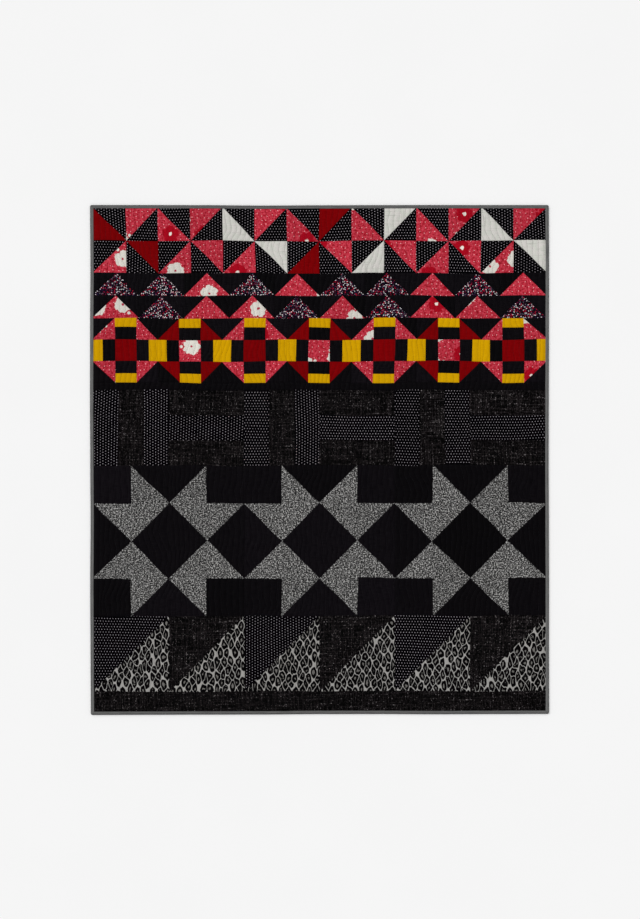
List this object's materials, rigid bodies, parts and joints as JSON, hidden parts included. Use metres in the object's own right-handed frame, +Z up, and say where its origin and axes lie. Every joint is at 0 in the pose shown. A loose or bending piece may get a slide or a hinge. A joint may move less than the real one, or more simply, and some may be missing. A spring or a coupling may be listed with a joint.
{
  "type": "patchwork quilt",
  "caption": "Thin quilted throw with a pieced patchwork face, wood-grain quilting and a narrow binding, lying flat.",
  "frame": {"origin": "under the middle of the quilt, on the surface that it lies on", "axes": "+Z is up, out of the pieced face; +Y points to the edge that is uppermost when the quilt is seen face on"},
  "size_m": [1.372, 1.524, 0.0064],
  "materials": {
    "black_cotton": "matte plain-woven cotton",
    "binding_cotton": "matte plain-woven cotton",
    "pin_dot_cotton": "black cotton printed with small pale dots",
    "red_floral_cotton": "red and white woven cotton printed with dots and blossoms",
    "dark_red_cotton": "matte cotton",
    "white_linen": "slubbed linen",
    "yellow_cotton": "matte cotton",
    "confetti_cotton": "black cotton printed with short red, blue and pale dashes",
    "grey_tweed": "salt-and-pepper tweed",
    "black_slub_tweed": "black weave with pale slubs",
    "spotted_cotton": "grey cotton printed with animal spots"
  },
  "bodies": {
    "root": {"quilt_body": "black_cotton", "binding_bottom": "binding_cotton", "binding_right": "binding_cotton", "binding_top": "binding_cotton", "binding_left": "binding_cotton"}
  },
  "joints": []
}
